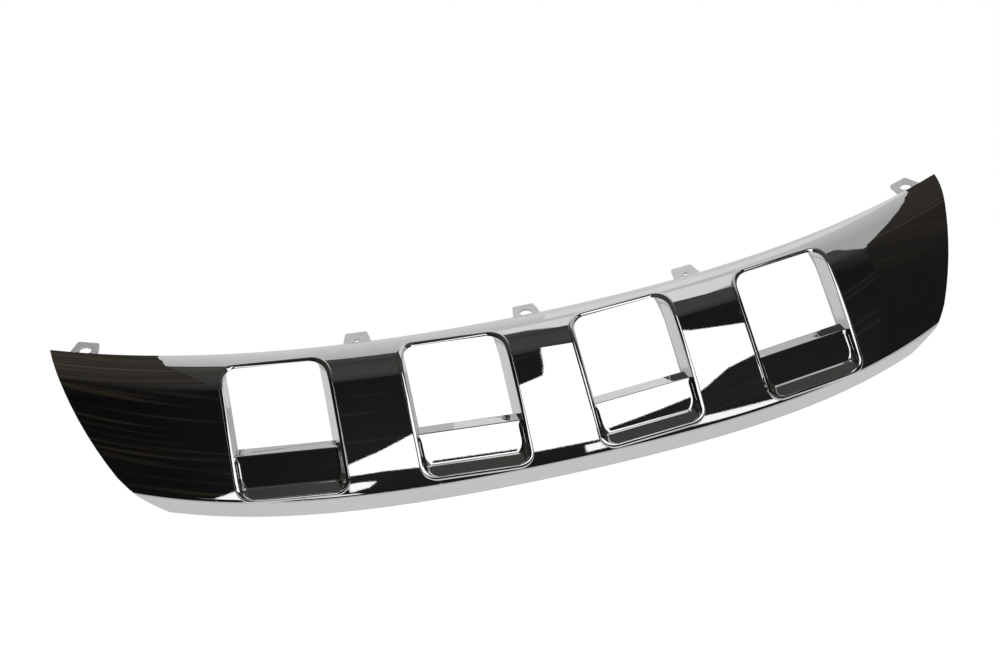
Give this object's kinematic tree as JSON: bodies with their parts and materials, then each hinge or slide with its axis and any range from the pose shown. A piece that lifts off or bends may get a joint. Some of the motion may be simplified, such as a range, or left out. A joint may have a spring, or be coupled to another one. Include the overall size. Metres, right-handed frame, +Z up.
{
  "type": "lower bumper grille",
  "caption": "Curved chromed lower bumper grille with beaded air windows, recessed scoop plates, upper fixing tabs and a lower return band.",
  "frame": {"origin": "the middle of the hole in the centre tab, halfway through the tab", "axes": "+X to the right seen from the front, along the width of the vehicle; +Y back into the vehicle; +Z up, as fitted"},
  "size_m": [1.04, 0.1781, 0.2372],
  "materials": {
    "plated": "mirror bright plating over moulded plastic",
    "tab_plating": "satin plating on the tabs",
    "zinc_steel": "zinc plated, slightly dull",
    "spring_steel": "black phosphate on spring steel"
  },
  "bodies": {
    "root": {"bezel_screws": "zinc_steel", "face_panel": "plated", "lower_spring_nuts": "spring_steel", "scoop_plate_inner_left": "plated", "scoop_plate_inner_right": "plated", "scoop_plate_outer_left": "plated", "scoop_plate_outer_right": "plated", "tab_centre": "tab_plating", "tab_end_left": "tab_plating", "tab_end_right": "tab_plating", "tab_mid_left": "tab_plating", "tab_mid_right": "tab_plating", "tab_push_nuts": "spring_steel", "window_bezel_inner_left": "plated", "window_bezel_inner_right": "plated", "window_bezel_outer_left": "plated", "window_bezel_outer_right": "plated"}
  },
  "joints": []
}
